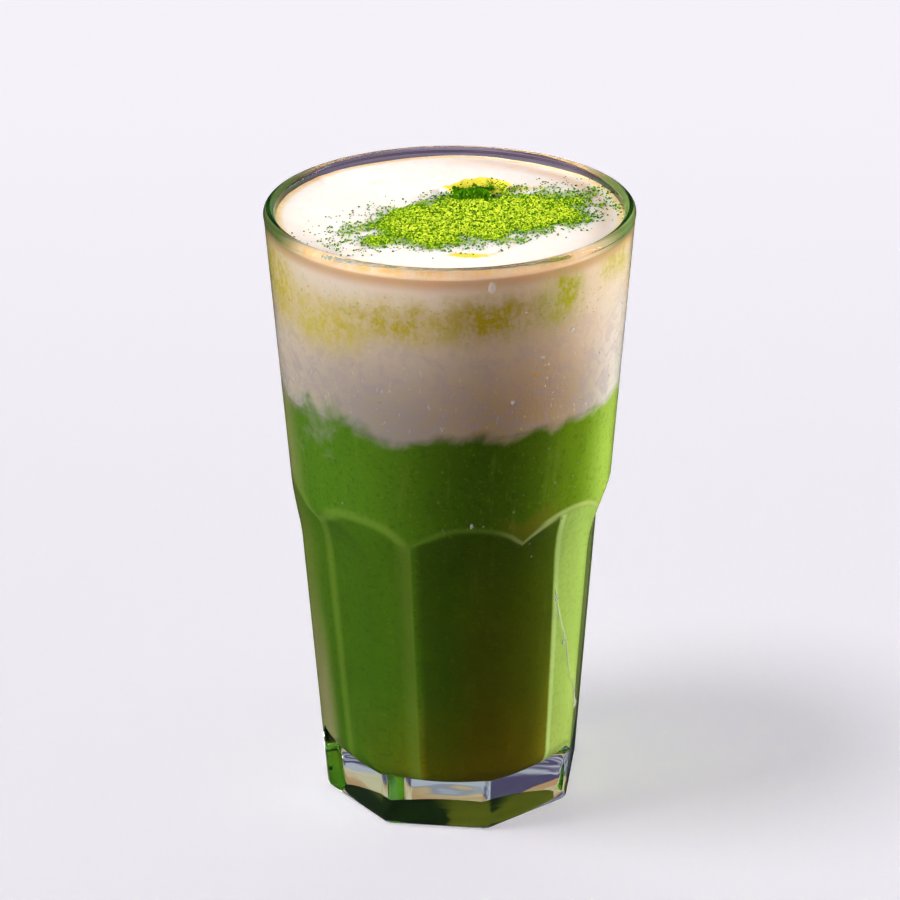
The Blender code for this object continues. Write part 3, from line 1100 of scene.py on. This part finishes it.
def build_drops():
    shape = bmesh.new()
    for azimuth, z, half_width, half_height in drops():
        angle = FRONT + math.radians(azimuth)
        radius = outer_radius(angle, z)
        lean = math.atan2(RIM_RADIUS - FOOT_RADIUS, HEIGHT)
        size = Matrix.Diagonal((half_width * DROP_FLATNESS * 2, half_width, half_height, 1))
        place = Matrix.Translation((radius * math.cos(angle), radius * math.sin(angle), z))
        turn = Matrix.Rotation(angle, 4, "Z") @ Matrix.Rotation(lean, 4, "Y")
        bmesh.ops.create_icosphere(shape, subdivisions=3, radius=1.0, matrix=place @ turn @ size)
    mesh = bpy.data.meshes.new("water_drops")
    shape.to_mesh(mesh)
    shape.free()
    mesh.shade_smooth()
    mesh.materials.append(water_painted_bright())
    print("water_drops", len(mesh.polygons), "faces")
    return new_object("water_drops", mesh)


water_drops = build_drops()
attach(water_drops, "root")

# %% [markdown]
# ## Floor, light and camera
# The floor is plain pale paper. In a studio, light bounces back and forth until shadows on white paper are
# faint. Half of the paper's brightness is therefore its own, and lights of its own cast one soft shadow on
# it.

# %% Floor
FLOOR_HALF_SIZE = 4.0
PAPER_GLOW = 0.58


def seamless_paper():
    """Slightly darker near the front, and its glow has a trace of lavender."""
    made, tree, output = new_material("seamless paper, pale grey")
    place = add(tree, "ShaderNodeTexCoord").outputs["Object"]
    away = add(tree, "ShaderNodeSeparateXYZ", (place,)).outputs[1]
    tone = coats(tree, "#DEDBE0", ("#EAE8EB", (away, -0.15, 0.6)))
    paper = add(
        tree,
        "ShaderNodeBsdfPrincipled",
        {
            "Base Color": tone,
            "Roughness": 0.9,
            "Specular IOR Level": 0.0,
            "Emission Color": coats(tree, tone, ("#D2CAE0", 0.3)),
            "Emission Strength": PAPER_GLOW,
        },
    )
    tree.links.new(paper.outputs[0], output.inputs["Surface"])
    return made


def build_floor():
    half = FLOOR_HALF_SIZE
    mesh = bpy.data.meshes.new("floor")
    corners = [(-half, -half, 0), (half, -half, 0), (half, half, 0), (-half, half, 0)]
    mesh.from_pydata(corners, [], [(0, 1, 2, 3)])
    mesh.materials.append(seamless_paper())
    return new_object("floor", mesh)


floor = build_floor()
floor.visible_diffuse = False
floor.visible_glossy = False
floor.visible_transmission = False
floor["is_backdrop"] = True
print("paper", 2 * FLOOR_HALF_SIZE, "m wide")


# %% [markdown]
# Two windows light the drink: a soft one from the front left, and a strong low one from behind on the
# right, which shines through the glass and leaves the front in shade. They are distant lights, so the light
# is as even as daylight. A narrow strip and a box add the small highlights. The room around shows in the
# clear glass only: a lavender wall with a warm ceiling above it, which the thick foot bends into view.

# %% Lights
def towards(azimuth, elevation):
    """The direction from the drink to a place, azimuth counted from the front towards +X, in degrees."""
    a, e = math.radians(azimuth), math.radians(elevation)
    return Vector((math.sin(a) * math.cos(e), -math.cos(a) * math.cos(e), math.sin(e)))


def lamp_object(lamp, name, place, aim):
    """A lamp at a place, turned to shine towards aim."""
    made = new_object(name, lamp)
    made.location = place
    made.rotation_euler = (aim - place).to_track_quat("-Z", "Y").to_euler()
    return made


def distant_light(name, azimuth, elevation, strength, softness, colour):
    """Even light from far away. Softness is how wide it looks from the drink, in degrees."""
    lamp = bpy.data.lights.new(name, "SUN")
    lamp.energy = strength
    lamp.angle = math.radians(softness)
    lamp.color = linear(colour)[:3]
    made = lamp_object(lamp, name, towards(azimuth, elevation) * 2, Vector((0, 0, 0)))
    made.visible_glossy = False
    return made


def soft_box(name, azimuth, elevation, distance, size, power, colour):
    """An area light of a real size in metres, aimed at the drink."""
    lamp = bpy.data.lights.new(name, "AREA")
    lamp.shape = "RECTANGLE"
    lamp.size, lamp.size_y = size
    lamp.energy = power
    lamp.color = linear(colour)[:3]
    aim = Vector((0, 0, HEIGHT / 2))
    return lamp_object(lamp, name, aim + towards(azimuth, elevation) * distance, aim)


def shines_only_on(lamp, name, receivers):
    """Links a light to what it may shine on, so that the paper keeps one soft shadow."""
    group = bpy.data.collections.new(name)
    for one in receivers:
        group.objects.link(one)
    lamp.light_linking.receiver_collection = group


drink_lights = [
    distant_light("left window", -70, 20, 5.8, 36, "#FFFAF4"),
    distant_light("right window", 116, 4, 19.0, 38, "#FFF7EA"),
    soft_box("right strip", 100, 25, 1.0, (0.05, 0.6), 0.5, "#FFFFFF"),
    soft_box("top box", 165, 62, 1.0, (0.5, 0.25), 1.0, "#FFFFFF"),
]
paper_lights = [
    distant_light("paper light", -79, 62, 1.24, 19, "#FFFFFF"),
    distant_light("paper top light", 172, 78, 0.42, 60, "#FFFFFF"),
]
for lamp in drink_lights:
    shines_only_on(lamp, lamp.name + " reach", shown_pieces())
for lamp in paper_lights:
    shines_only_on(lamp, lamp.name + " reach", [floor])

print("lights:", len(bpy.data.lights))

# %% The room around
CEILING_EDGE = 0.509
CEILING_EDGE_BLUR = 0.003
CEILING_SLOPE = 0.07
CRINKLE = 0.016


def studio_room():
    """Plain grey for the light it gives and for reflections, with wall and ceiling for rays through glass."""
    made = bpy.data.worlds.new("studio")
    made.use_nodes = True
    tree = made.node_tree
    tree.nodes.clear()
    direction = add(tree, "ShaderNodeTexCoord").outputs["Generated"]
    rays = add(tree, "ShaderNodeLightPath").outputs
    sideways, _, upward = add(tree, "ShaderNodeSeparateXYZ", (direction,)).outputs
    flattened = add(tree, "ShaderNodeVectorMath", (direction, (1.0, 1.0, 4.0)), operation="MULTIPLY")
    streaks = {"Vector": flattened, "Scale": 1 / 0.30, "Detail": 4.0, "Roughness": 0.55, "Distortion": 0.6}
    streaky = add(tree, NOISE, streaks)
    crinkled = add(tree, NOISE, {"Vector": direction, "Scale": 1 / 0.04, "Detail": 3.0, "Roughness": 0.55})
    edge = add(tree, MATH, (sideways, CEILING_SLOPE, upward), operation="MULTIPLY_ADD")
    edge = add(tree, MATH, (crinkled, CRINKLE, edge), operation="MULTIPLY_ADD")
    low_wall = coats(tree, "#43365A", ("#A79DB4", (streaky, 0.45, 0.68)))
    wall = coats(tree, "#64507A", ("#D6C4DE", (streaky, 0.44, 0.60)))
    ceiling = coats(tree, "#D89C7A", ("#F4D2BC", (streaky, 0.44, 0.62)))
    above = (edge, CEILING_EDGE - CEILING_EDGE_BLUR, CEILING_EDGE + CEILING_EDGE_BLUR)
    room = coats(tree, low_wall, (coats(tree, wall, (ceiling, above)), (upward, -0.1, 0.2)))
    seen = coats(tree, "#56525A", ("#232226", rays["Is Glossy Ray"]), (room, rays["Is Transmission Ray"]))
    background = add(tree, "ShaderNodeBackground", {"Color": seen, "Strength": 1.0})
    add(tree, "ShaderNodeOutputWorld", {"Surface": background.outputs[0]})
    return made


bpy.context.scene.world = studio_room()
bpy.context.scene.view_settings.view_transform = "Standard"
print("world:", bpy.context.scene.world.name)

# %% [markdown]
# The camera's place and lens come from fitting the tumbler's rim, sides and foot to the picture. Its shift
# only centres the picture as it was framed.

# %% Camera
CAMERA_DISTANCE = 0.7929
CAMERA_ELEVATION = math.radians(24.88)
CAMERA_ROLL = math.radians(-0.286)
FOCAL_PIXELS = 3227.7
PRINCIPAL_POINT = (451.09, 497.01)
PICTURE_SIZE = 900
SENSOR = 36.0
NEAREST = 0.05


def build_camera():
    """The camera that fits the picture's rim, silhouettes and foot."""
    lens = bpy.data.cameras.new("camera")
    lens.sensor_width = SENSOR
    lens.lens = FOCAL_PIXELS / PICTURE_SIZE * SENSOR
    lens.shift_x = -(PRINCIPAL_POINT[0] / PICTURE_SIZE - 0.5)
    lens.shift_y = PRINCIPAL_POINT[1] / PICTURE_SIZE - 0.5
    lens.clip_start = NEAREST
    away = Vector((0, -math.cos(CAMERA_ELEVATION), math.sin(CAMERA_ELEVATION)))
    up = Vector((0, math.sin(CAMERA_ELEVATION), math.cos(CAMERA_ELEVATION)))
    level = Matrix((Vector((1, 0, 0)), up, away)).transposed()
    made = new_object("camera", lens)
    made.matrix_world = (
        Matrix.Translation(Vector((0, 0, HEIGHT / 2)) + away * CAMERA_DISTANCE)
        @ level.to_4x4()
        @ Matrix.Rotation(CAMERA_ROLL, 4, "Z")
    )
    bpy.context.scene.camera = made
    return made


camera = build_camera()
print("camera", round(camera.data.lens, 1), "mm lens")
